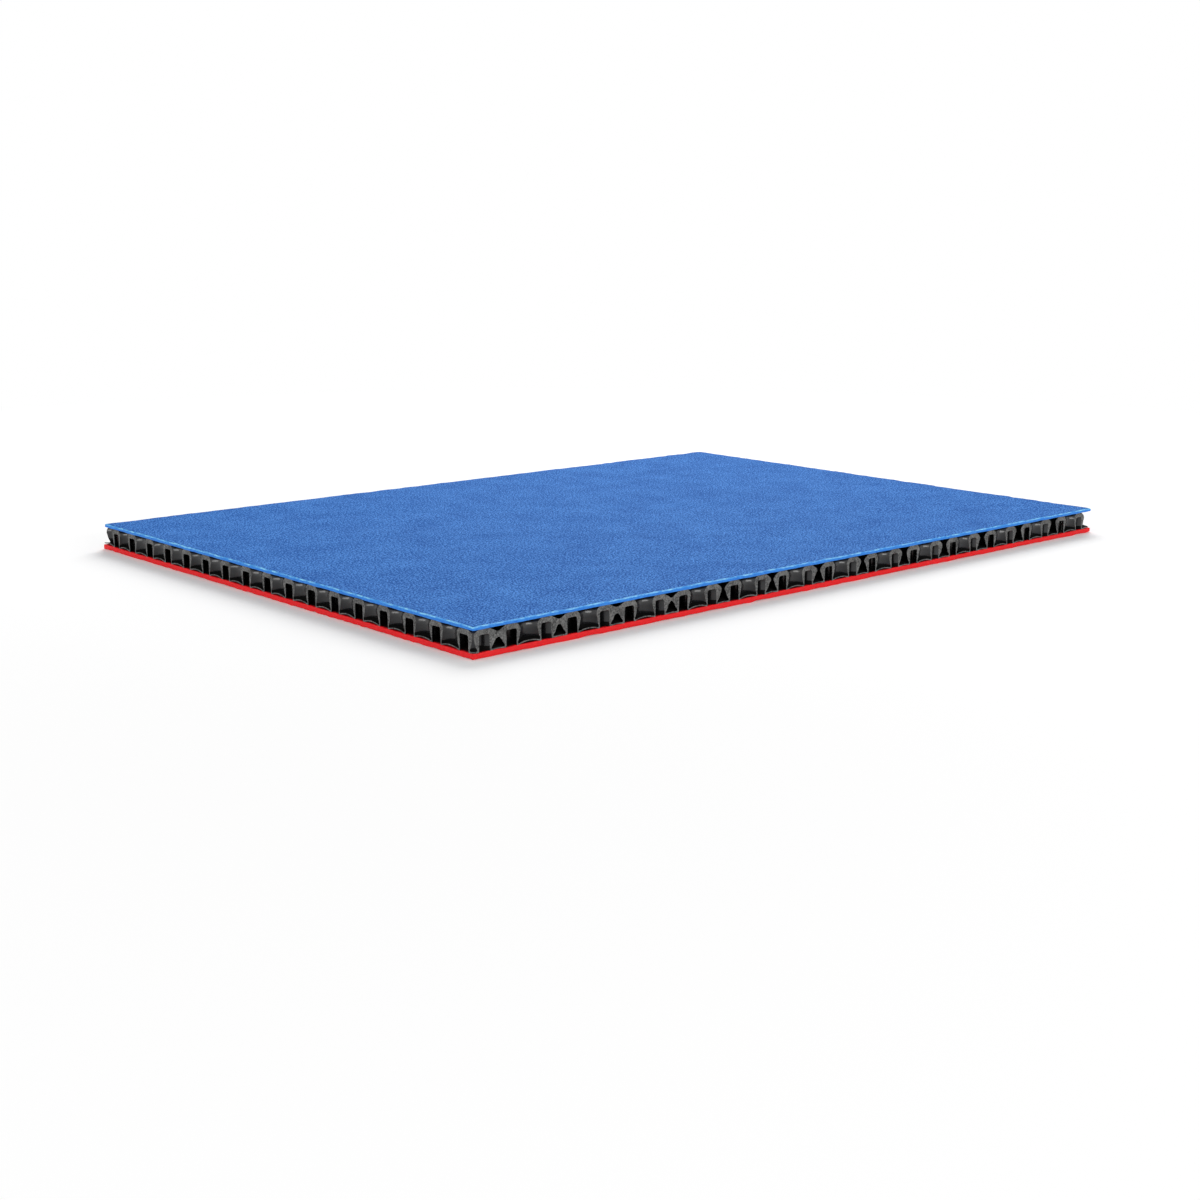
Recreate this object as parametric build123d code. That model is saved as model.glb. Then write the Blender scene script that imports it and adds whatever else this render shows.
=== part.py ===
from build123d import *
import math
import os

# Polypropylene sandwich panel, millimetres, +Z up.
# A blue sheet on top, a black formed core in the middle and a red sheet below, fused together.
# The long side runs along X. The origin is on the underside, at the middle of the panel.

# Outer sheets
panel_length = 317.0
panel_width = 229.0
top_thickness = 1.2
bottom_thickness = 1.9

# Core sheet: a thick web under the top sheet, with pockets drawn down from it.
# A pocket's outside is a straight column, flared at its root where it leaves the web
core_height = 6.9
web_thickness = 1.6
pocket_pitch = 13.6
column_radius = 5.4
root_flare = 0.45
root_depth = 0.8

# Wall of a pocket, thickest at the neck and thinnest at the toe, with each depth below the
# top of the web. Above the neck the hollow opens out to the rim. Below the waist it splays
rim_wall = 0.15
neck_wall = 1.2
neck_depth = 1.85
waist_wall = 0.8
waist_depth = 4.8
toe_wall = 0.35
floor_thickness = 0.3
floor_rise = 0.4
pocket_sides = 12

# How the panel was sawn from a larger sheet. At the near corner the first row's centres lie
# outside one cut. The other cut just misses the neck of the second row's first pocket, and
# as it was not quite square to the first, it comes closer to the centres along the way
row_overhang = 2.5
neck_margin = 0.13
cut_slant = 0.09

# Heights, radii and steps that follow from the sizes above
core_bottom = bottom_thickness
core_top = core_bottom + core_height
panel_top = core_top + top_thickness
web_bottom = core_top - web_thickness
rim_radius = column_radius - rim_wall
neck_radius = column_radius - neck_wall
waist_radius = column_radius - waist_wall
toe_radius = column_radius - toe_wall
flare_radius = column_radius + root_flare
row_step = pocket_pitch * math.sqrt(3) / 2
pocket_overhang = pocket_pitch / 2 - neck_radius - neck_margin
near_x = -panel_length / 2
near_y = -panel_width / 2

# A pocket is round. Its sides are flats, set so that they hold the round one's area
side_turn = 2 * math.pi / pocket_sides
corner_share = math.sqrt(side_turn / math.sin(side_turn))
flat_share = corner_share * math.cos(side_turn / 2)


def sheet(bottom, thickness):
    """A flat sheet of the panel's outline, with its underside at the height given."""
    return Pos(0, 0, bottom + thickness / 2) * Box(panel_length, panel_width, thickness)


def outline(height, radius):
    """The outline of a pocket at one height, with flats that face the sides of the panel."""
    turned = 180 / pocket_sides
    flats = RegularPolygon(radius * corner_share, pocket_sides, rotation=turned)
    return Pos(0, 0, height) * flats


def drum(bottom, top, bottom_radius, top_radius):
    """A plug whose flat sides lean from one radius to the other, drawn up from its wider end."""
    wide, narrow = max(bottom_radius, top_radius), min(bottom_radius, top_radius)
    lean = math.degrees(math.atan((wide - narrow) * flat_share / (top - bottom)))
    plug = extrude(outline(0, wide), amount=top - bottom, taper=lean)
    if bottom_radius < top_radius:
        return Pos(0, 0, top) * mirror(plug, about=Plane.XY)
    return Pos(0, 0, bottom) * plug


def column():
    """The outside of a pocket, let into the web that carries it."""
    return drum(core_bottom, web_bottom + web_thickness / 2, column_radius, column_radius)


def flared_column():
    """The same, with the flare where a pocket leaves the web."""
    flare = drum(web_bottom - root_depth, web_bottom, column_radius, flare_radius)
    return column() + flare


def cavity():
    """The hollow of a pocket, open at the top, over a floor that rises to its middle."""
    floor = core_bottom + floor_thickness
    waist = core_top - waist_depth
    neck = core_top - neck_depth
    wall = drum(floor, waist, toe_radius, waist_radius)
    throat = drum(waist, neck, waist_radius, neck_radius)
    rim = drum(neck, core_top, neck_radius, rim_radius)
    mouth = drum(core_top, panel_top, rim_radius, rim_radius)
    dome = loft([outline(floor, toe_radius), Vertex(0, 0, floor + floor_rise)], ruled=True)
    return wall + throat + rim + mouth - dome


def pocket_centres():
    """Centres of all pockets in the pattern that reach the panel."""
    drift = math.tan(math.radians(cut_slant))
    rows = math.ceil(panel_length / row_step) + 2
    places = math.ceil(panel_width / pocket_pitch) + 2
    centres = []
    for row in range(-1, rows):
        stagger = pocket_pitch / 2 if row % 2 else 0
        for place in range(-1, places):
            along = row * row_step - row_overhang
            across = place * pocket_pitch + stagger - pocket_overhang
            x = near_x + along
            y = near_y + across - along * drift
            if max(abs(x) + near_x, abs(y) + near_y) < column_radius:
                centres.append((x, y))
    return centres


def inner_lines(near, overhang, step, side):
    """The first and last lines of pockets that the cut along each side leaves whole."""
    first = math.ceil((overhang + column_radius) / step)
    last = math.floor((side + overhang - column_radius) / step)
    return near + first * step - overhang, near + last * step - overhang


def core_sheet():
    """The formed sheet. Pockets along the four sawn edges are open, and the hidden middle,
    from the first whole line of pockets inwards, is solid."""
    low_x, high_x = inner_lines(near_x, row_overhang, row_step, panel_length)
    low_y, high_y = inner_lines(near_y, pocket_overhang, pocket_pitch, panel_width)
    middle_x, middle_y = (low_x + high_x) / 2, (low_y + high_y) / 2
    block_x, block_y = high_x - low_x, high_y - low_y
    block = Pos(middle_x, middle_y, (core_bottom + web_bottom) / 2) * Box(
        block_x, block_y, web_bottom - core_bottom
    )
    envelope = sheet(core_bottom, core_height)
    plain, flared, hollow = column(), flared_column(), cavity()
    columns = []
    hollows = []
    for x, y in pocket_centres():
        outside_block = max(abs(x - middle_x) - block_x / 2, abs(y - middle_y) - block_y / 2)
        inside_edge = min(-near_x - abs(x), -near_y - abs(y))
        if inside_edge < flare_radius * corner_share:
            columns.append((Pos(x, y, 0) * flared) & envelope)
            hollows.append(Pos(x, y, 0) * hollow)
        elif outside_block > -column_radius:
            columns.append(Pos(x, y, 0) * plain)
    return sheet(web_bottom, web_thickness) + block + columns - hollows


def main():
    os.makedirs("parts", exist_ok=True)
    nodes = {
        "top_sheet": sheet(core_top, top_thickness),
        "core_sheet": core_sheet(),
        "bottom_sheet": sheet(0, bottom_thickness),
    }
    for name, solid in nodes.items():
        solid.label = name
        export_step(solid, os.path.join("parts", name + ".step"))
        print(name, len(solid.solids()), "solid", round(solid.volume), "mm3")


main()
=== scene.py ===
# %% [markdown]
# A sandwich panel of polypropylene, dressed around its CAD model. Three plastic sheets are fused
# together: a blue one on top, a black one in the middle with round pockets formed in it, and a
# red one below. The panel was sawn from a larger board, so its four edges show the core cut open.
# The CAD model is loaded first. It stays where it is, and everything made here is fitted to it.

import math

import bmesh
import bpy
from mathutils import Euler, Matrix, Vector


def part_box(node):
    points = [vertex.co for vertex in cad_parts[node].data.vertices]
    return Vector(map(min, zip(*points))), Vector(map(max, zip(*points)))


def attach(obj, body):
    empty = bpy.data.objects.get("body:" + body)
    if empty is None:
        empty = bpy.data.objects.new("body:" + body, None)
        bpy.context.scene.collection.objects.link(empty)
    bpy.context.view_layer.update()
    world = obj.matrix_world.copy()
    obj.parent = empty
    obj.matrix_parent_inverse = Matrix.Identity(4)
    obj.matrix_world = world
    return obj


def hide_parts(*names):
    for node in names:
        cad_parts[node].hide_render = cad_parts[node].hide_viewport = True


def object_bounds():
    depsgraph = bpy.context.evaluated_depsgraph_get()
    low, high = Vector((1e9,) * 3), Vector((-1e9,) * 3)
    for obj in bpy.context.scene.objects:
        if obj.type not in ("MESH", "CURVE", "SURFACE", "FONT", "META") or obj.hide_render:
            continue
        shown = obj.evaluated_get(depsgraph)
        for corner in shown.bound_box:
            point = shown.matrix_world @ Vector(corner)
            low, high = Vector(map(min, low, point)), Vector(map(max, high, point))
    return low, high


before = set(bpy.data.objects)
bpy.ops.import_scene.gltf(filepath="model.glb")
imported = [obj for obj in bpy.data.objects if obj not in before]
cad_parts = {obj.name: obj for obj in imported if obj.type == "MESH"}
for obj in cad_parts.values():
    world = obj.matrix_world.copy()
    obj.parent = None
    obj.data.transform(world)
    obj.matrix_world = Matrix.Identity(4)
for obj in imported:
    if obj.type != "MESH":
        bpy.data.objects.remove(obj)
cad_low, cad_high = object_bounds()
print("CAD box in mm:", [round(1000 * side, 2) for side in cad_high - cad_low])

# %% [markdown]
# Every height and side comes from the frame. The sizes of the pocket pattern are the ones that
# the core was drawn with, written here in millimetres and turned into metres. The pockets lie in
# rows across the panel, and the overhangs say how far outside the two near cuts the pattern
# starts. One long cut was not quite square to the short one, so the pattern slants a little.

# %% Sizes
MM = 0.001
panel_bottom = cad_low.z
core_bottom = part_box("core_sheet")[0].z
core_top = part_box("core_sheet")[1].z
panel_top = cad_high.z
half_length = cad_high.x
half_width = cad_high.y
print("core from", round(core_bottom / MM, 2), "to", round(core_top / MM, 2), "mm")

pocket_pitch = 13.6 * MM
row_step = pocket_pitch * math.sqrt(3) / 2
row_overhang = 2.5 * MM
pocket_overhang = 2.47 * MM
cut_slant = math.radians(0.09)
print("rows of pockets", round(row_step / MM, 2), "mm apart")

# %% [markdown]
# Modelling goes on in edit mode, where an operator changes whatever is selected. So each step
# opens one object alone with nothing selected, and then picks what it needs by its place. The
# test that it is given gets the middle of each vertex, edge or face, and the part itself. Places
# a fiftieth of a millimetre apart count as the same, and a face looks one way when its normal is
# within about 8 degrees of it, whose cosine is 0.99.

# %% Helpers for modelling
same_place = 0.02 * MM
facing = 0.99


def open_mesh(piece):
    """Opens one object in edit mode, with nothing selected."""
    bpy.ops.object.select_all(action="DESELECT")
    piece.select_set(True)
    bpy.context.view_layer.objects.active = piece
    bpy.ops.object.mode_set(mode="EDIT")
    bpy.ops.mesh.select_all(action="DESELECT")


def close_mesh():
    bpy.ops.object.mode_set(mode="OBJECT")


def pick(piece, kind, test):
    """Selects the vertices, edges or faces that pass the test, and counts them."""
    bpy.ops.mesh.select_mode(type=kind)
    bpy.ops.mesh.select_all(action="DESELECT")
    mesh = bmesh.from_edit_mesh(piece.data)
    parts = {"VERT": mesh.verts, "EDGE": mesh.edges, "FACE": mesh.faces}[kind]
    count = 0
    for part in parts:
        corners = [part] if kind == "VERT" else part.verts
        middle = sum((corner.co for corner in corners), Vector()) / len(corners)
        if test(middle, part):
            part.select_set(True)
            count += 1
    mesh.select_flush_mode()
    bmesh.update_edit_mesh(piece.data)
    return count


def near(a, b):
    return abs(a - b) < same_place


def triangle_count(piece):
    return sum(len(face.vertices) - 2 for face in piece.data.polygons)


# %% [markdown]
# The camera comes before anything else is made, so that every look at the work is from the
# right place. It stands left of the near corner and looks down at a shallow angle. The place,
# the angles and the lens were worked out from the four edges of the panel. A camera shift slides
# the picture sideways and leaves its perspective alone, which a turn of the camera would not.

# %% Camera
camera_place = Vector((-464.8, -519.8, 130.0)) * MM
camera_turn = math.radians(-44.10)
camera_pitch = math.radians(12.45)
camera_roll = math.radians(0.50)
focal_pixels = 1781.4
frame_pixels = 1200
centre_pixel = 686.2
sensor_width = 36

bpy.ops.object.camera_add(location=camera_place)
camera = bpy.context.active_object
aim = Euler((math.pi / 2 - camera_pitch, 0, camera_turn)).to_matrix()
camera.rotation_euler = (aim @ Matrix.Rotation(camera_roll, 3, "Z")).to_euler()
camera.data.sensor_width = sensor_width
camera.data.lens = sensor_width * focal_pixels / frame_pixels
camera.data.shift_x = (frame_pixels / 2 - centre_pixel) / frame_pixels
bpy.context.scene.camera = camera
print("lens", round(camera.data.lens, 2), "mm, shift", round(camera.data.shift_x, 4))

# %% [markdown]
# The core is one sheet of black plastic, formed while warm into round pockets. One cell of it is
# a six-sided piece of the thick web with a pocket drawn down from its middle. The pocket could
# be turned on a lathe with Spin, but here a circle is drawn along the wall ring by ring, which
# leaves no seam to merge. Each station of the wall is a radius and a depth below the top of the
# web, both in millimetres.

# %% Pocket profiles
web_depth = 1.6
web_bottom = core_top - web_depth * MM
core_depth = round((core_top - core_bottom) / MM, 3)

inside_fine = (
    # from the rim over a rounded lip to the neck
    (5.25, 0), (4.96, 0.28), (4.67, 0.6), (4.45, 0.93), (4.3, 1.3), (4.22, 1.75), (4.2, 2.15),
    # down the wall, and outwards at the toe
    (4.23, 2.6), (4.33, 3.1), (4.43, 3.7), (4.53, 4.4), (4.62, 4.9), (4.79, 5.4), (4.96, 5.85),
    (5.0, 6.15),
    # in over the floor, which rises to its middle
    (4.88, 6.4), (4.5, 6.44), (3.6, 6.12), (2.4, 5.88),
)
floor_middle = 5.78
outside_fine = (
    # the flare where the pocket leaves the web
    (5.85, web_depth), (5.6, 1.7), (5.42, 1.95), (5.35, 2.4),
    # nearly straight down
    (5.33, 4.2), (5.32, 5.4), (5.3, core_depth),
    # the ring that is fused to the red sheet, and the underside of the floor
    (4.8, core_depth), (3.7, 6.5), (2.4, 6.22),
)
underside_middle = 6.1
inside_plain = ((5.25, 0), (4.2, 1.85), (5.0, 6.4))
outside_seen = ((5.85, web_depth), (5.53, 1.8), (5.4, 2.4), (5.36, core_depth))
outside_plain = ((5.85, web_depth), (5.36, core_depth))
print("stations inside and outside a pocket:", len(inside_fine), len(outside_fine))

# %% [markdown]
# Each step down a wall extrudes the ring and then resizes it about its own centre. The last ring
# is extruded once more and merged into one point.

# %% Draw a wall
def draw_wall(profile, sides, last_depth):
    """Draws a ring down along a profile, and closes it at its middle."""
    radius, depth = profile[0]
    place = Vector((0, 0, core_top - depth * MM))
    bpy.ops.mesh.select_all(action="DESELECT")
    bpy.ops.mesh.primitive_circle_add(vertices=sides, radius=radius * MM, location=place)
    for next_radius, next_depth in profile[1:]:
        step = (0, 0, (depth - next_depth) * MM)
        bpy.ops.mesh.extrude_edges_move(TRANSFORM_OT_translate={"value": step})
        place = place + Vector(step)
        share = next_radius / radius
        bpy.ops.transform.resize(value=(share, share, 1), center_override=place)
        radius, depth = next_radius, next_depth
    step = (0, 0, (depth - last_depth) * MM)
    bpy.ops.mesh.extrude_edges_move(TRANSFORM_OT_translate={"value": step})
    bpy.ops.mesh.merge(type="CENTER")


# %% [markdown]
# Six neighbours surround each pocket, so its piece of the web is a hexagon that is turned to face
# them, and the cells fit together like tiles. Fill joins the hexagon to the ring at its height.
#
# Three kinds of cell are made. A cell that the saw goes through shows its whole section and is
# round. The next ones are seen from outside, between those, and all others are hidden. Few sides
# will do for what is hidden, which keeps the whole core light.

# %% Make the cells
facing_neighbours = math.radians(30)
round_sides = 40
seen_sides = 24
hidden_sides = 8


def fill_web(piece, height):
    """Adds the cell's six-sided outline at one height and fills up to the ring there."""
    bpy.ops.mesh.select_all(action="DESELECT")
    bpy.ops.mesh.primitive_circle_add(
        vertices=6, radius=pocket_pitch / math.sqrt(3), location=(0, 0, height),
        rotation=(0, 0, facing_neighbours),
    )
    pick(piece, "EDGE", lambda middle, edge: near(middle.z, height) and len(edge.link_faces) < 2)
    bpy.ops.mesh.fill()


def make_cell(name, inside, inside_sides, outside, outside_sides, last_depth):
    """One cell. Its object starts as a small triangle, whose vertices are deleted again."""
    bpy.ops.object.select_all(action="DESELECT")
    bpy.ops.mesh.primitive_circle_add(vertices=3, radius=MM)
    cell = bpy.context.active_object
    cell.name = name
    open_mesh(cell)
    bpy.ops.mesh.select_all(action="SELECT")
    bpy.ops.mesh.delete(type="VERT")
    draw_wall(inside, inside_sides, floor_middle)
    draw_wall(outside, outside_sides, last_depth)
    fill_web(cell, core_top)
    fill_web(cell, web_bottom)
    close_mesh()
    print(name, len(cell.data.polygons), "faces")
    return cell


sawn_cell = make_cell(
    "sawn_cell", inside_fine, round_sides, outside_fine, round_sides, underside_middle
)
seen_cell = make_cell(
    "seen_cell", inside_plain, hidden_sides, outside_seen, seen_sides, core_depth
)
hidden_cell = make_cell(
    "hidden_cell", inside_plain, hidden_sides, outside_plain, hidden_sides, core_depth
)


# %% [markdown]
# The cells are laid out in rows a little closer than the pitch, every second row half a pitch
# along, and all of them reach past the panel's outline. An Array modifier could repeat one cell,
# but the kind of cell depends on how far inside the edge it lies, so they are copied in a loop.
# Each copy has a mesh of its own, and at the end they are joined into one object.

# %% Lay the cells out
sawn_reach = pocket_pitch / 2
seen_reach = 1.6 * pocket_pitch


def cell_centres():
    """Centres of the cells, in rows that drift a little towards the near long side."""
    rows = math.ceil(2 * half_length / row_step) + 2
    places = math.ceil(2 * half_width / pocket_pitch) + 2
    for row in range(-1, rows):
        stagger = pocket_pitch / 2 if row % 2 else 0
        along = row * row_step - row_overhang
        for place in range(-1, places):
            across = place * pocket_pitch + stagger - pocket_overhang
            drift = along * math.tan(cut_slant)
            yield Vector((along - half_length, across - drift - half_width, 0))


def kind_of_cell(centre):
    """The cell to copy at a centre, by how far inside the nearest edge it lies."""
    inside_edge = min(half_length - abs(centre.x), half_width - abs(centre.y))
    if abs(inside_edge) < sawn_reach:
        return sawn_cell
    if sawn_reach <= inside_edge < seen_reach:
        return seen_cell
    return hidden_cell


def lay_cells():
    """Copies the cells over the panel and joins them into one object."""
    copies = []
    for centre in cell_centres():
        source = kind_of_cell(centre)
        copy = source.copy()
        copy.data = source.data.copy()
        copy.location = centre
        bpy.context.collection.objects.link(copy)
        copies.append(copy)
    bpy.ops.object.select_all(action="DESELECT")
    for copy in copies:
        copy.select_set(True)
    bpy.context.view_layer.objects.active = copies[0]
    bpy.ops.object.join()
    bpy.ops.object.transform_apply(location=True, rotation=True, scale=True)
    for source in (sawn_cell, seen_cell, hidden_cell):
        bpy.data.objects.remove(source)
    print("cells laid out:", len(copies))
    return bpy.context.active_object


core = lay_cells()
core.name = "formed_core"


# %% [markdown]
# Where two cells meet, their corners are merged. What is left open is the outline of the top and
# of the underside of the web, one above the other, and a bridge between the two closes the body.
# A closed body matters here, because the saw can only fill its cut through a closed one.

# %% Close the core
corner_gap = 0.05 * MM

open_mesh(core)
bpy.ops.mesh.select_all(action="SELECT")
bpy.ops.mesh.remove_doubles(threshold=corner_gap)
bpy.ops.mesh.select_mode(type="EDGE")
pick(core, "EDGE", lambda middle, edge: edge.is_boundary)
bpy.ops.mesh.bridge_edge_loops()
bpy.ops.mesh.select_all(action="SELECT")
bpy.ops.mesh.normals_make_consistent(inside=False)
open_edges = pick(core, "EDGE", lambda middle, edge: not edge.is_manifold)
close_mesh()
print("open edges in the core:", open_edges)


# %% [markdown]
# Towards the left end the far long cut leaves the panel a little wider, and there the saw also
# squeezed the last pockets together. At the near corner the wall of the pocket is thicker, so
# that it just closes over the corner. This could be pulled into shape by hand, but a Displace
# modifier without a texture gives the same result each time: it pushes vertices one way, by as
# much as each one's weight in a group says. A pair of distances from a side, an end or the middle
# of a pocket says where the weight begins, and where it is full.

# %% Push the pockets at two corners
left_across = (19 * MM, 9 * MM)
left_along = (30 * MM, 14 * MM)
left_squeeze = {"X": 0.8 * MM, "Y": -1.1 * MM}
near_wall = (5.3 * MM, 4.7 * MM)
near_closing = {"X": -0.3 * MM, "Y": -0.3 * MM}


def ease(value, low, high):
    """0 below the low value, 1 above the high one, and smooth between them."""
    share = min(max((value - low) / (high - low), 0), 1)
    return share * share * (3 - 2 * share)


def at_left_corner(place):
    """1 for the pockets at the left corner, and less with the distance from it."""
    across = ease(place.y, half_width - left_across[0], half_width - left_across[1])
    along = ease(-place.x, half_length - left_along[0], half_length - left_along[1])
    return across * along


def at_near_corner(place):
    """1 for the inside of the pocket at the near corner, and 0 from its outside on."""
    across = place.y + half_width + pocket_overhang
    apart = math.hypot(place.x + half_length + row_overhang, across)
    return ease(-apart, -near_wall[0], -near_wall[1])


def push(name, weigh, pushes):
    """Moves vertices along each axis, as far as their weight in a group says."""
    group = core.vertex_groups.new(name=name)
    count = 0
    for vertex in core.data.vertices:
        weight = weigh(vertex.co)
        if weight > 0:
            group.add([vertex.index], weight, "REPLACE")
            count += 1
    for direction, reach in pushes.items():
        modifier = core.modifiers.new("push", "DISPLACE")
        modifier.direction = direction
        modifier.mid_level = 0
        modifier.strength = reach
        modifier.vertex_group = name
        bpy.ops.object.modifier_apply(modifier="push")
    print("vertices pushed,", name, count)


push("left_corner", at_left_corner, left_squeeze)
push("near_corner", at_near_corner, near_closing)


# %% [markdown]
# Formed plastic is never as even as its mould. A Displace modifier with a cloud texture moves
# vertices to and fro along one axis, and vertices that lie close together move alike. Two of
# them let all of the core wander sideways by a tenth of a millimetre or two, inside and outside
# of a wall alike, so the walls hardly change their thickness.

# %% Let the core wander
core_unevenness = 0.22 * MM


def wander(piece, label, direction, reach, grain, group="", middle=0.5):
    """Moves a piece, or a group of its vertices, to and fro along one axis by a smooth noise.
    A lower middle lets it move further one way than the other."""
    texture = bpy.data.textures.new(piece.name + label, "CLOUDS")
    texture.noise_scale = grain
    texture.noise_depth = 2
    modifier = piece.modifiers.new(label, "DISPLACE")
    modifier.texture = texture
    modifier.texture_coords = "LOCAL"
    modifier.direction = direction
    modifier.strength = 2 * reach
    modifier.mid_level = middle
    modifier.vertex_group = group
    bpy.ops.object.modifier_apply(modifier=label)


wander(core, "out", "X", core_unevenness, 7 * MM)
wander(core, "along", "Y", core_unevenness, 6 * MM)
print("core:", len(core.data.vertices), "vertices before the saw")


# %% [markdown]
# Then the saw. Bisect cuts along a plane, throws away what lies outside it and fills the cut,
# four times over, which leaves the true section of every pocket that the plane goes through.
# A Boolean could cut the core too, but needs a second object to cut it with. The far cut leans
# outwards towards the left, by as much as the panel is wider there.

# %% Saw the core
left_lean = 1.8 * MM
cut_gap = 0.001 * MM
far_slant = math.atan(left_lean / (2 * half_length))
cuts = (
    ((-half_length, 0, 0), (-1, 0, 0)),
    ((half_length, 0, 0), (1, 0, 0)),
    ((0, -half_width, 0), (0, -1, 0)),
    ((half_length, half_width, 0), (math.sin(far_slant), math.cos(far_slant), 0)),
)


def saw(piece, planes):
    """Cuts a piece along planes, each given by a place on it and the way out of the piece."""
    open_mesh(piece)
    bpy.ops.mesh.select_mode(type="FACE")
    for place, outward in planes:
        bpy.ops.mesh.select_all(action="SELECT")
        bpy.ops.mesh.bisect(
            plane_co=place, plane_no=outward, use_fill=True, clear_outer=True, threshold=cut_gap
        )
    open_edges = pick(piece, "EDGE", lambda middle, edge: not edge.is_manifold)
    close_mesh()
    print("open edges after the saw:", open_edges)


saw(core, cuts)


# %% [markdown]
# Sawn plastic is duller and greyer than the formed skin. The toes and floors of the pockets lie
# deep under the web, and their shade is painted there as a darker colour, with a matt finish. So
# these two get material slots of their own. A face belongs to a cut when it lies on the cut's
# plane and looks straight out of it, and to the toes when it is formed skin and lies deep enough.

# %% Slots of the core
core_slots = ("formed", "sawn", "shaded_toe")
formed_slot = core_slots.index("formed")
toe_depth = 5.3 * MM
core_smoothing = math.radians(38)


def give_slot(piece, slot, test):
    """Gives the faces that pass a test one of the core's material slots, and counts them."""
    open_mesh(piece)
    count = pick(piece, "FACE", test)
    piece.active_material_index = core_slots.index(slot)
    bpy.ops.object.material_slot_assign()
    close_mesh()
    print("faces given the slot", slot, count)


def on_cut(place, outward):
    """A test for faces on one of the cuts."""
    direction = Vector(outward)
    reach = direction.dot(place)
    return lambda middle, face: (
        near(middle.dot(direction), reach) and face.normal.dot(direction) > facing
    )


def in_shaded_toe(middle, face):
    return face.material_index == formed_slot and middle.z < core_top - toe_depth


for name in core_slots:
    core.data.materials.append(bpy.data.materials.new(name))
for place, outward in cuts:
    give_slot(core, "sawn", on_cut(place, outward))
give_slot(core, "shaded_toe", in_shaded_toe)
bpy.ops.object.shade_smooth_by_angle(angle=core_smoothing)
print("core:", triangle_count(core), "triangles")
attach(core, "root")
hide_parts("core_sheet")

# %% [markdown]
# The two outer sheets are flat, so a box would do for their faces. What shows is their sawn edge,
# which is a little wavy and has a burr along the top. A box has no vertices along its edges to
# move, so an outline is drawn and divided first, into as many pieces as Subdivide makes at once.
# The cuts were not quite square, so each sheet is a little longer at its left and right corners.

# %% Outline of a sheet
outline_cuts = 100


def divide(piece, axis, side):
    """Divides the two sides of the outline that run along one axis into short pieces."""
    def runs_along(middle, edge):
        return abs((edge.verts[0].co - edge.verts[1].co)[axis]) > side / 2

    pick(piece, "EDGE", runs_along)
    bpy.ops.mesh.subdivide(number_cuts=outline_cuts)


def draw_outline(name, bottom, left, right):
    """Draws a new sheet's outline at its lower face, and leaves it open in edit mode."""
    bpy.ops.object.select_all(action="DESELECT")
    bpy.ops.mesh.primitive_plane_add(size=1, location=(0, 0, 0))
    sheet = bpy.context.active_object
    sheet.name = name
    open_mesh(sheet)
    bpy.ops.mesh.select_all(action="SELECT")
    bpy.ops.transform.resize(
        value=(2 * half_length, 2 * half_width, 1), center_override=(0, 0, 0)
    )
    bpy.ops.transform.translate(value=(0, 0, bottom))
    pick(sheet, "VERT", lambda middle, vertex: middle.x < 0 < middle.y)
    bpy.ops.transform.translate(value=(0, left, 0))
    pick(sheet, "VERT", lambda middle, vertex: middle.y < 0 < middle.x)
    bpy.ops.transform.translate(value=(right, 0, 0))
    bpy.ops.mesh.select_all(action="SELECT")
    bpy.ops.mesh.delete(type="ONLY_FACE")
    divide(sheet, 0, 2 * half_length)
    divide(sheet, 1, 2 * half_width)
    return sheet


# %% [markdown]
# The outline is filled, drawn up to the sheet's thickness and bevelled. The wide bevel along the
# top is where the burr will be, and the lower edge stays nearly sharp. An inset then puts a ring
# of vertices inside the rim, so that what happens at the edge doesn't reach across the face.

# %% Body of a sheet
foot_bevel = 0.08 * MM
rim_inset = 1.6 * MM


def at_rim(height):
    """A test for edges at one height, between a flat face and an upright one."""
    def test(middle, edge):
        slopes = {round(abs(face.normal.z)) for face in edge.link_faces}
        return near(middle.z, height) and len(slopes) == 2

    return test


def fill_sheet(sheet, bottom, top, burr_bevel):
    """Makes the open outline a solid sheet with bevelled rims, and closes its mesh."""
    bpy.ops.mesh.select_all(action="SELECT")
    bpy.ops.mesh.edge_face_add()
    bpy.ops.mesh.extrude_region_move(TRANSFORM_OT_translate={"value": (0, 0, top - bottom)})
    bpy.ops.mesh.select_all(action="SELECT")
    bpy.ops.mesh.normals_make_consistent(inside=False)
    for height, width in ((top, burr_bevel), (bottom, foot_bevel)):
        pick(sheet, "EDGE", at_rim(height))
        bpy.ops.mesh.bevel(offset=width, segments=2, affect="EDGES")
    pick(
        sheet, "FACE",
        lambda middle, face: abs(face.normal.z) > facing and len(face.verts) > outline_cuts,
    )
    bpy.ops.mesh.inset(thickness=rim_inset)
    close_mesh()


# %% [markdown]
# A saw leaves plastic torn rather than cut. The whole rim waves a little in all three directions,
# and then its lower and upper edges move up and down once more. A lower edge moves mostly
# upwards, as where bits have broken away, and in the red sheet more than in the blue one. Vertex
# groups keep all this off the faces.

# %% Torn rims
edge_wave = 0.14 * MM
edge_waves = (("out", "X", 5 * MM), ("along", "Y", 4 * MM), ("up", "Z", 3 * MM))
foot_grain = 2.5 * MM
foot_middle = 0.3
crest_grain = 4 * MM
crest_middle = 0.45


def gather(sheet, name, vertices):
    """Puts vertices into a new group, each with its full weight."""
    sheet.vertex_groups.new(name=name).add(vertices, 1.0, "REPLACE")


def past_outline(place):
    """How far a place lies outside the panel's outline, which is less than 0 inside it."""
    return max(abs(place.x) - half_length, abs(place.y) - half_width)


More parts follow.
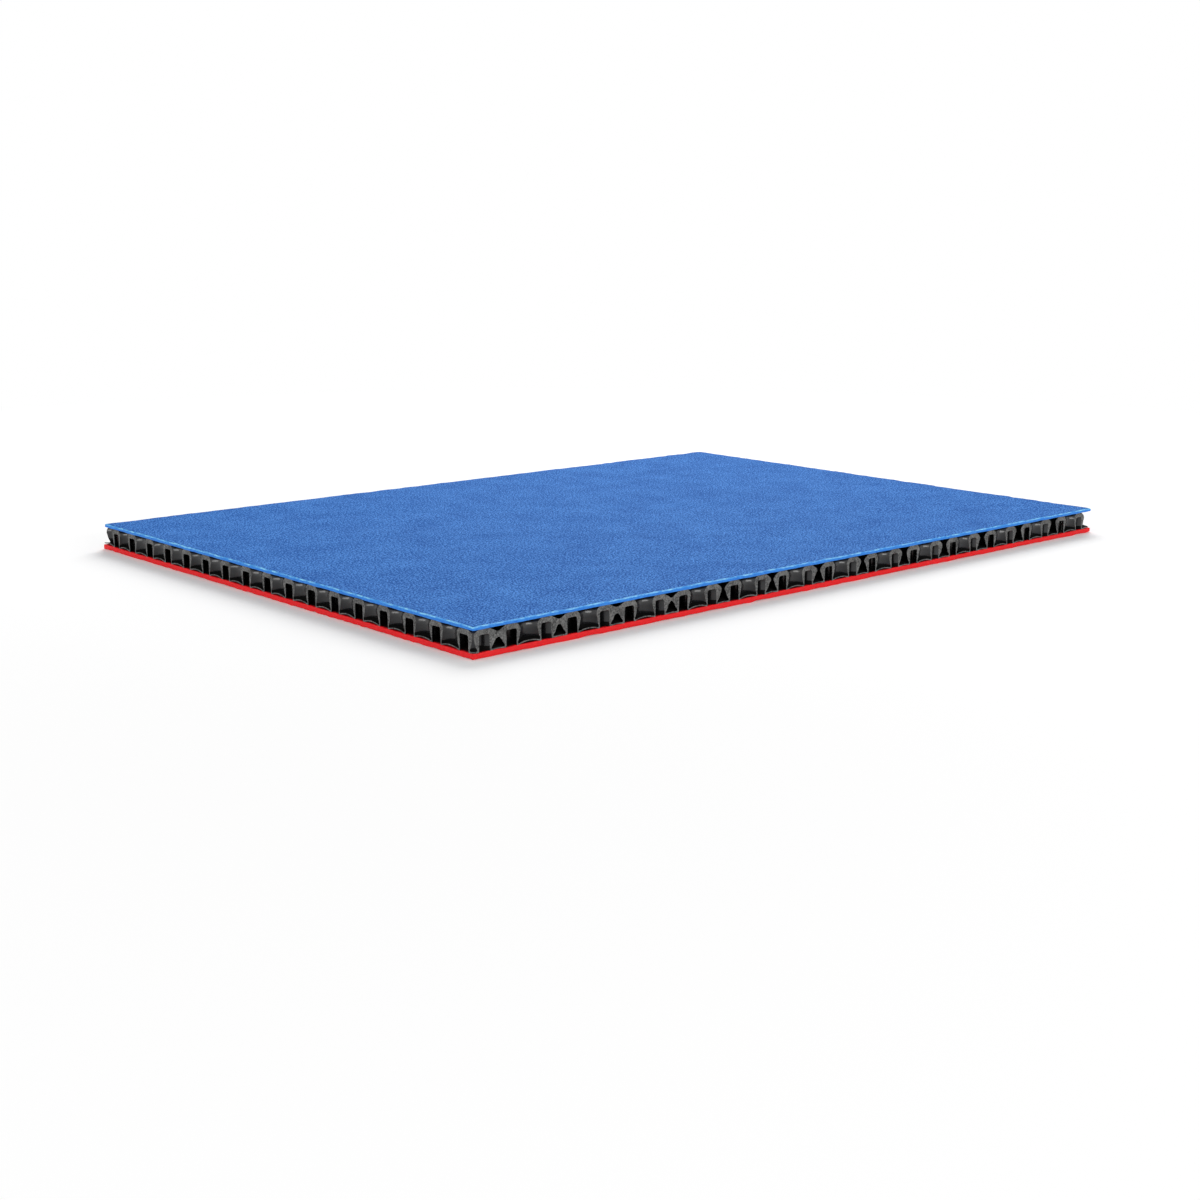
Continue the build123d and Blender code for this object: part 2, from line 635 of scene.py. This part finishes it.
def tear_rims(sheet, middle_height, foot_reach, crest_reach):
    """Lets the whole rim wave, and then its lower and upper edges by as much as is given."""
    rim = [
        vertex.index for vertex in sheet.data.vertices
        if past_outline(vertex.co) > -rim_inset / 2
    ]
    gather(sheet, "rim", rim)
    for label, direction, grain in edge_waves:
        wander(sheet, label, direction, edge_wave, grain, "rim")
    foot = [index for index in rim if sheet.data.vertices[index].co.z < middle_height]
    gather(sheet, "foot", foot)
    wander(sheet, "ragged", "Z", foot_reach, foot_grain, "foot", foot_middle)
    crest = [index for index in rim if sheet.data.vertices[index].co.z > middle_height]
    gather(sheet, "crest", crest)
    wander(sheet, "torn", "Z", crest_reach, crest_grain, "crest", crest_middle)


# %% [markdown]
# Both sheets are made by one function, and only their sizes differ. The red one is thicker, its
# burr is narrower and its lower edge is more torn, and it reaches further at the left corner.

# %% Make the outer sheets
sheet_smoothing = math.radians(25)


def make_sheet(name, bottom, top, burr_bevel, left, right, foot_reach, crest_reach):
    """A flat sheet with sawn edges. Left and right say how much longer it is at those corners."""
    sheet = draw_outline(name, bottom, left, right)
    fill_sheet(sheet, bottom, top, burr_bevel)
    tear_rims(sheet, (bottom + top) / 2, foot_reach, crest_reach)
    bpy.ops.object.shade_smooth_by_angle(angle=sheet_smoothing)
    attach(sheet, "root")
    print(name, triangle_count(sheet), "triangles")
    return sheet


blue_sheet = make_sheet(
    "blue_sheet", core_top, panel_top, burr_bevel=0.35 * MM,
    left=0.7 * MM, right=1.3 * MM, foot_reach=0.1 * MM, crest_reach=0.2 * MM,
)
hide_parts("top_sheet")
red_sheet = make_sheet(
    "red_sheet", panel_bottom, core_bottom, burr_bevel=0.2 * MM,
    left=2.5 * MM, right=1.3 * MM, foot_reach=0.4 * MM, crest_reach=0.05 * MM,
)
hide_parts("bottom_sheet")


# %% [markdown]
# Materials are built from nodes. Maths on them is easier to read as ordinary expressions, so a
# small class wraps one output socket, and Python's operators on it add Math nodes. Every other
# kind of node comes from the method called node.

# %% Expressions on shader sockets
class Wire:
    """An output socket of a material."""

    def __init__(self, tree, socket):
        self.tree = tree
        self.socket = socket

    def node(self, kind, settings, inputs, output=0):
        """Adds a node of any kind: its settings first, then its sockets' values or links."""
        node = self.tree.nodes.new(kind)
        for name, value in settings.items():
            setattr(node, name, value)
        for name, value in inputs.items():
            if isinstance(value, Wire):
                self.tree.links.new(value.socket, node.inputs[name])
            else:
                node.inputs[name].default_value = value
        return Wire(self.tree, node.outputs[output])

    def math(self, operation, first, second=0.0):
        return self.node("ShaderNodeMath", {"operation": operation}, {0: first, 1: second})

    def __add__(self, other):
        return self.math("ADD", self, other)

    def __sub__(self, other):
        return self.math("SUBTRACT", self, other)

    def __rsub__(self, other):
        return self.math("SUBTRACT", other, self)

    def __mul__(self, other):
        return self.math("MULTIPLY", self, other)

    __radd__ = __add__
    __rmul__ = __mul__


# %% [markdown]
# Most finishes here start from a noise. A part of its range is spread from 0 to 1, and that then
# mixes two colours. The noise reads each point's place on the object in metres, so a grain of
# half a millimetre is written as that. The steps that the materials share are named once.

# %% Helpers for materials
white_colour = (1, 1, 1, 1)


def colour(red, green, blue):
    """A colour as a picture shows it, 0 to 255, turned into the light that a shader works in."""
    shares = (red / 255, green / 255, blue / 255)
    return tuple(s / 12.92 if s <= 0.04045 else ((s + 0.055) / 1.055) ** 2.4 for s in shares)


def new_material(name):
    """A material with its one shader node, and a wire with each point's place on the object."""
    material = bpy.data.materials.get(name) or bpy.data.materials.new(name)
    material.use_nodes = True
    tree = material.node_tree
    shader = tree.nodes["Principled BSDF"]
    place = tree.nodes.new("ShaderNodeTexCoord").outputs["Object"]
    print("material", name)
    return material, shader, Wire(tree, place)


def gloss(shader, roughness, specular):
    """Sets how blurred and how strong the reflections of a surface are."""
    shader.inputs["Roughness"].default_value = roughness
    shader.inputs["Specular IOR Level"].default_value = specular


def noise(place, size, detail=2.0, roughness=0.5, stretch=(1, 1, 1)):
    """A soft noise from 0 to 1 whose lumps are about as large as the size given."""
    mapped = place.node("ShaderNodeMapping", {}, {"Vector": place, "Scale": stretch})
    return place.node(
        "ShaderNodeTexNoise", {"noise_dimensions": "3D"},
        {"Vector": mapped, "Scale": 1 / size, "Detail": detail, "Roughness": roughness},
    )


def axis(place, output):
    """One of the three sides of a place: 0 for X, 1 for Y and 2 for Z."""
    return place.node("ShaderNodeSeparateXYZ", {}, {"Vector": place}, output)


def mix(factor, first, second):
    """Mixes two colours, each a tuple or a wire."""
    colours = [value if isinstance(value, Wire) else (*value, 1) for value in (first, second)]
    return factor.node(
        "ShaderNodeMix", {"data_type": "RGBA"},
        {"Factor": factor, 6: colours[0], 7: colours[1]}, output=2,
    )


def spread(value, low, high):
    """Stretches what lies from low to high over 0 to 1, and no further."""
    return value.node(
        "ShaderNodeMapRange", {}, {"Value": value, "From Min": low, "From Max": high}
    )


def bump(height, depth):
    """A normal that stands for a relief, whose height of 1 is this many metres."""
    return height.node(
        "ShaderNodeBump", {}, {"Height": height, "Distance": depth, "Strength": 1.0}
    )


def link(shader, **wires):
    """Links wires to a shader's sockets, whose names are written with _ for a space."""
    for name, wire in wires.items():
        wire.tree.links.new(wire.socket, shader.inputs[name.replace("_", " ")])


# %% [markdown]
# The faces of the outer sheets have a fine matte grain, which reads as small lighter and darker
# specks. A picture of such plastic could be laid over them, but it would repeat and show its
# borders, and a noise does neither. Larger, fainter clouds keep the face from looking printed.
# The plastic hardly shines: the grain scatters what it would reflect, so the specular is low.

# %% Sheet faces
face_grain = 0.62 * MM
face_clouds = 14 * MM
cloud_share = 0.12
face_relief = 0.06 * MM


def sheet_face(name, light, middle, dark):
    """Specks of a light and a dark colour on a middle one."""
    material, shader, place = new_material(name)
    grain = noise(place, face_grain, detail=1.5, roughness=0.6)
    clouds = noise(place, face_clouds, detail=3)
    specks = spread((1 - cloud_share) * grain + cloud_share * clouds, 0.42, 0.58)
    shade = mix(spread(specks, 0.0, 0.5), dark, middle)
    link(
        shader, Base_Color=mix(spread(specks, 0.5, 1.0), shade, light),
        Normal=bump(grain, face_relief),
    )
    gloss(shader, roughness=0.75, specular=0.02)
    return material


blue_face = sheet_face("blue_face", colour(88, 150, 226), colour(46, 104, 182), colour(18, 74, 150))
red_face = sheet_face("red_face", colour(232, 72, 72), colour(215, 44, 46), colour(192, 28, 34))


# %% [markdown]
# The sawn edges are brighter than the faces, with fine streaks along the cut: the same kind of
# noise, squeezed in height so that its lumps lie flat. A thin burr stands at the top corner, and
# it is given a paler colour in broken dashes, a painted highlight of light catching the edge.

# %% Sheet edges
streak_size = 1.4 * MM
streak_stretch = (1, 1, 4)
streak_relief = 0.06 * MM
highlight_dash_size = 3.5 * MM


def sheet_edge(name, light, dark):
    """Sawn plastic, streaked along the cut."""
    material, shader, place = new_material(name)
    streaks = noise(place, streak_size, detail=4, roughness=0.65, stretch=streak_stretch)
    tone = spread(streaks, 0.3, 0.7)
    link(shader, Base_Color=mix(tone, dark, light), Normal=bump(streaks, streak_relief))
    gloss(shader, roughness=0.6, specular=0.2)
    return material


def sheet_burr_painted_highlight(name, light, dark):
    """The burr, in a paler colour with broken dashes: a painted highlight."""
    material, shader, place = new_material(name)
    highlight_dashes = noise(place, highlight_dash_size, detail=5, roughness=0.75)
    # painted highlight: the burr's pale dashes stand in for light catching the top edge
    link(shader, Base_Color=mix(spread(highlight_dashes, 0.42, 0.6), dark, light))
    gloss(shader, roughness=0.6, specular=0.1)
    return material


# %% [markdown]
# A little of the inner side of each sheet can be seen, of the blue one inside the cut pockets
# and of the red one between them. It lies in shadow, and that shade is painted on: the inner side
# is given a dark colour, and the sheet's own colour shows only along the rim.
# How far a point lies past the outline is worked out from its place with two ABSOLUTE nodes and
# a MAXIMUM. Some noise is added to it, so that the border of the dark isn't a ruled line.

# %% Inner side of a sheet
bare_rim = 0.7 * MM
smear_size = 4 * MM


def shaded_sheet_inside(name, shade, own):
    """An inner side painted dark as shade, with the sheet's own colour along its rim."""
    material, shader, place = new_material(name)
    smears = noise(place, smear_size, detail=3)
    # painted shade: the inner side is dark because it lies in shadow, not by its own colour
    dark = mix(smears, shade, tuple(2 * part for part in shade))
    past_end = place.math("ABSOLUTE", axis(place, 0)) - half_length
    past_side = place.math("ABSOLUTE", axis(place, 1)) - half_width
    rim = spread(place.math("MAXIMUM", past_end, past_side) + smears * MM, -bare_rim, 0.0)
    link(shader, Base_Color=mix(rim, dark, own))
    gloss(shader, roughness=0.6, specular=0.1)
    return material


# %% [markdown]
# Each face of a sheet takes its material by the way it looks. A level face is the outer or the
# inner side, a face that leans upwards is on the wide bevel and is the burr, and all others are
# the sawn edge.

# %% Finish the sheets
sheet_slots = ("face", "edge", "burr", "inside")
level = 0.97
leaning_up = 0.2


def finish_sheet(sheet, finish, inner_side):
    """Gives a sheet its materials. The inner side is 1 where it looks up, and -1 down."""
    sheet.data.materials.clear()
    for slot in sheet_slots:
        sheet.data.materials.append(finish[slot])
    for polygon in sheet.data.polygons:
        upwards = polygon.normal.z
        if abs(upwards) > level:
            slot = "inside" if upwards * inner_side > 0 else "face"
        elif upwards > leaning_up:
            slot = "burr"
        else:
            slot = "edge"
        polygon.material_index = sheet_slots.index(slot)


blue_finish = {
    "face": blue_face,
    "edge": sheet_edge("blue_edge", colour(62, 142, 224), colour(26, 100, 200)),
    "burr": sheet_burr_painted_highlight("blue_burr_highlight", colour(132, 204, 242), colour(56, 140, 220)),
    "inside": shaded_sheet_inside("blue_inside_painted_shade", (0.004, 0.005, 0.008), colour(30, 90, 190)),
}
red_finish = {
    "face": red_face,
    "edge": sheet_edge("red_edge", colour(236, 36, 40), colour(212, 18, 26)),
    "burr": sheet_burr_painted_highlight("red_burr_highlight", colour(240, 44, 46), colour(216, 22, 30)),
    "inside": shaded_sheet_inside("red_inside_painted_shade", (0.006, 0.003, 0.003), colour(200, 20, 26)),
}
finish_sheet(blue_sheet, blue_finish, inner_side=-1)
finish_sheet(red_sheet, red_finish, inner_side=1)


# %% [markdown]
# The core is black. Its formed skin is smooth and satin, with a faint ripple drawn down the
# walls. The sawn faces are dull and grey, with fine specks where the blade tore the plastic. The
# toes of the pockets are matt, and darker still with painted shade, as they lie deep in shadow.
# The three materials are already in the core's slots under these names, and get their nodes here.

# %% Core materials
ripple_size = 2.5 * MM
speck_size = 0.55 * MM
patch_size = 3 * MM
patch_share = 0.25
mottle_size = 1.5 * MM


def core_formed():
    """The satin skin of the web and of the walls."""
    material, shader, place = new_material("formed")
    ripple = noise(place, ripple_size, detail=2, stretch=(1, 1, 0.5))
    shade = mix(spread(ripple, 0.3, 0.7), (0.006, 0.006, 0.007), (0.011, 0.011, 0.012))
    link(shader, Base_Color=shade, Normal=bump(ripple, 0.05 * MM))
    gloss(shader, roughness=0.22, specular=0.55)


def core_sawn():
    """The dull cut faces, with specks and larger patches of grey."""
    material, shader, place = new_material("sawn")
    specks = noise(place, speck_size, detail=4, roughness=0.75)
    patches = noise(place, patch_size, detail=2)
    tone = spread((1 - patch_share) * specks + patch_share * patches, 0.4, 0.62)
    shade = mix(tone, colour(48, 48, 48), colour(122, 122, 121))
    link(shader, Base_Color=shade, Normal=bump(specks, 0.08 * MM))
    gloss(shader, roughness=0.7, specular=0.2)


def core_toe_painted_shade():
    """The matt toes and floors of the pockets, darker with painted shade."""
    material, shader, place = new_material("shaded_toe")
    mottle = noise(place, mottle_size, detail=3)
    # the darker base colour is painted shade for the deep toes and floors
    link(shader, Base_Color=mix(mottle, (0.002, 0.002, 0.002), (0.005, 0.005, 0.005)))
    gloss(shader, roughness=0.8, specular=0.05)


core_formed()
core_sawn()
core_toe_painted_shade()


# %% [markdown]
# The panel lies on a plain pale floor under an even white sky. Enough light to make that floor
# pure white would bleach the panel and its soft shadow too. So the camera is shown another
# floor than the one that light bounces off. Near the panel it is a lit white with a little glow
# added, which comes to white only where nothing shades it. Farther out it is plain white, so that
# no horizon shows. A Light Path node tells what kind of ray is asking, and rays in gloss and
# through glass are shown the same white.

# %% Floor
floor_size = 12.0
floor_shade = 0.84
floor_glow = 0.07
near_floor = 0.25
far_floor = 0.6

bpy.ops.object.select_all(action="DESELECT")
bpy.ops.mesh.primitive_plane_add(size=floor_size, location=(0, 0, 0))
floor = bpy.context.active_object
floor.name = "floor"
floor_material, floor_shader, floor_place = new_material("floor")
floor_shader.inputs["Base Color"].default_value = (floor_shade, floor_shade, floor_shade, 1)
gloss(floor_shader, roughness=1.0, specular=0.0)


# %% What the camera sees of the floor
def seen_directly(wire):
    """1 for what the camera sees, itself or in gloss or through glass, and 0 for other light."""
    path = wire.tree.nodes.new("ShaderNodeLightPath")
    camera_ray, glossy, through = (
        Wire(wire.tree, path.outputs[name])
        for name in ("Is Camera Ray", "Is Glossy Ray", "Is Transmission Ray")
    )
    return wire.math("MAXIMUM", wire.math("MAXIMUM", camera_ray, glossy), through)


def emission(wire, strength):
    return wire.node("ShaderNodeEmission", {}, {"Color": white_colour, "Strength": strength})


def blend(factor, first, second):
    return factor.node("ShaderNodeMixShader", {}, {0: factor, 1: first, 2: second})


lit = Wire(floor_place.tree, floor_shader.outputs[0])
white_floor = lit.node("ShaderNodeBsdfDiffuse", {}, {"Color": white_colour})
glowing = lit.node("ShaderNodeAddShader", {}, {0: white_floor, 1: emission(lit, floor_glow)})
reach = floor_place.node("ShaderNodeVectorMath", {"operation": "LENGTH"}, {0: floor_place}, 1)
shown = blend(spread(reach, near_floor, far_floor), glowing, emission(lit, 1.0))
surface = blend(seen_directly(lit), lit, shown)
floor_output = floor_place.tree.nodes["Material Output"]
floor_place.tree.links.new(surface.socket, floor_output.inputs["Surface"])
floor.data.materials.append(floor_material)
print("floor:", floor_size, "m wide, and plain white from", far_floor, "m on")

# %% [markdown]
# The sky lights everything evenly, and the camera is shown plain white in its place, as with the
# floor. Three soft area lamps give the panel its form. One stands behind and above, lights the
# blue face and throws the soft shadow forward. Two wide, low ones stand before the two near
# sides, and make the highlights that run down inside the cut pockets.

# %% Sky
sky_level = 0.38

world = bpy.data.worlds.new("studio")
bpy.context.scene.world = world
world.use_nodes = True
background = world.node_tree.nodes["Background"]
background.inputs["Color"].default_value = white_colour
background.inputs["Strength"].default_value = sky_level
sky = Wire(world.node_tree, background.outputs[0])
plain_white = sky.node("ShaderNodeBackground", {}, {"Color": white_colour, "Strength": 1.0})
sky_shown = blend(seen_directly(sky), sky, plain_white)
world_output = world.node_tree.nodes["World Output"]
world.node_tree.links.new(sky_shown.socket, world_output.inputs["Surface"])
print("sky:", sky_level, "of plain white")


# %% Lamps
def softbox(name, place, aim, size, power):
    """A lamp of a width and a height in metres and a power in watts, turned towards its aim."""
    bpy.ops.object.light_add(type="AREA", location=place)
    lamp = bpy.context.active_object
    lamp.name = name
    lamp.rotation_euler = (Vector(aim) - Vector(place)).to_track_quat("-Z", "Y").to_euler()
    lamp.data.shape = "RECTANGLE"
    lamp.data.size, lamp.data.size_y = size
    lamp.data.energy = power
    print("lamp", name, power, "W")


softbox("behind", place=(0.75, 0.75, 0.85), aim=(0, 0, 0), size=(0.8, 0.8), power=15.0)
softbox(
    "before_left_side", place=(-1.15, -0.05, 0.24), aim=(-0.1, 0, 0),
    size=(1.1, 0.34), power=5.2,
)
softbox(
    "before_right_side", place=(0.05, -1.1, 0.22), aim=(0.02, -0.1, 0),
    size=(1.05, 0.32), power=6.0,
)
bpy.context.scene.view_settings.view_transform = "Standard"
